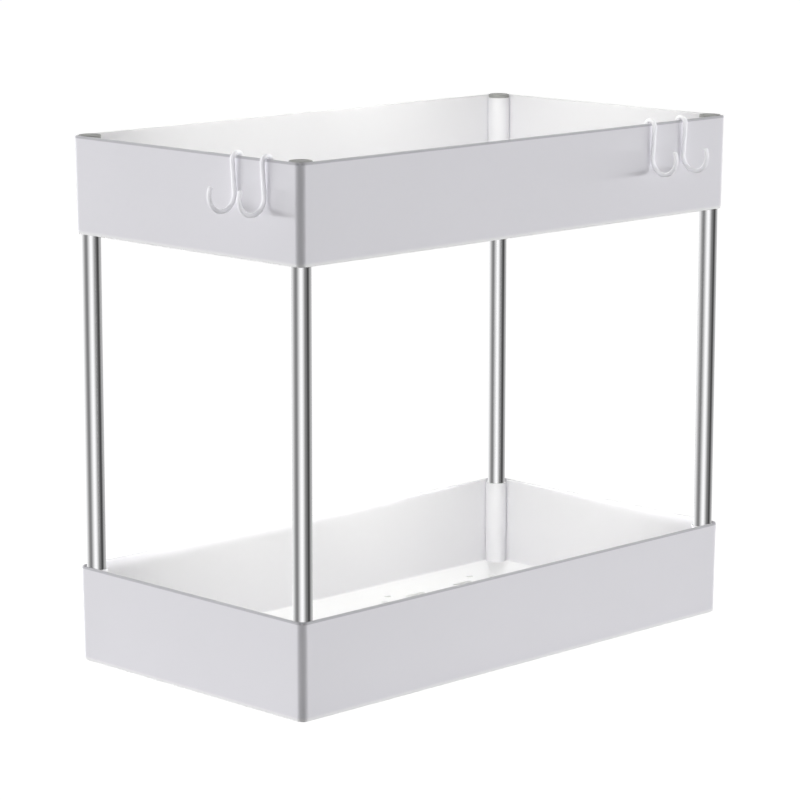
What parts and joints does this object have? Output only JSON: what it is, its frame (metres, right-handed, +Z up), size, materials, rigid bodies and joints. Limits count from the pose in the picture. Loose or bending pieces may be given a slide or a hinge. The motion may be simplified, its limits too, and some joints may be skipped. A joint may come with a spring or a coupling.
{
  "type": "under sink organizer",
  "caption": "Two-tier storage rack: moulded open trays with drain slots, joined by steel corner tubes with grey caps, with wire hooks hung on the upper rim.",
  "frame": {"origin": "centre of the lower tray's flat underside, which is the plane the organizer stands on", "axes": "+X along the long walls, to the right when the hooked long wall is seen from in front; +Y from that front wall to the back; +Z up"},
  "size_m": [0.4241, 0.2391, 0.3524],
  "materials": {
    "tray": "satin white moulded polypropylene",
    "tube": "polished thin-walled steel tube",
    "cap": "matte mid-grey plastic",
    "foot": "matte dark-grey rubber",
    "hook": "white coating on wire"
  },
  "bodies": {
    "rack": {"upper_tray": "tray", "lower_tray": "tray", "tube_front_left": "tube", "tube_front_right": "tube", "tube_back_left": "tube", "tube_back_right": "tube", "cap_front_left": "cap", "cap_front_right": "cap", "cap_back_left": "cap", "cap_back_right": "cap", "foot_front_left": "foot", "foot_front_right": "foot", "foot_back_left": "foot", "foot_back_right": "foot"},
    "side_hook_front": {"side_hook_front": "hook"},
    "side_hook_rear": {"side_hook_rear": "hook"},
    "front_hook_outer": {"front_hook_outer": "hook"},
    "front_hook_inner": {"front_hook_inner": "hook"}
  },
  "joints": [
    {"name": "side_hook_front_slide", "type": "slide", "parent": "rack", "child": "side_hook_front", "axis": [0, 1, 0], "range_m": [-0.012, 0.01]},
    {"name": "side_hook_rear_slide", "type": "slide", "parent": "rack", "child": "side_hook_rear", "axis": [0, 1, 0], "range_m": [-0.013, 0.139]},
    {"name": "front_hook_outer_slide", "type": "slide", "parent": "rack", "child": "front_hook_outer", "axis": [1, 0, 0], "range_m": [-0.013, 0.029]},
    {"name": "front_hook_inner_slide", "type": "slide", "parent": "rack", "child": "front_hook_inner", "axis": [1, 0, 0], "range_m": [-0.302, 0.013]}
  ]
}
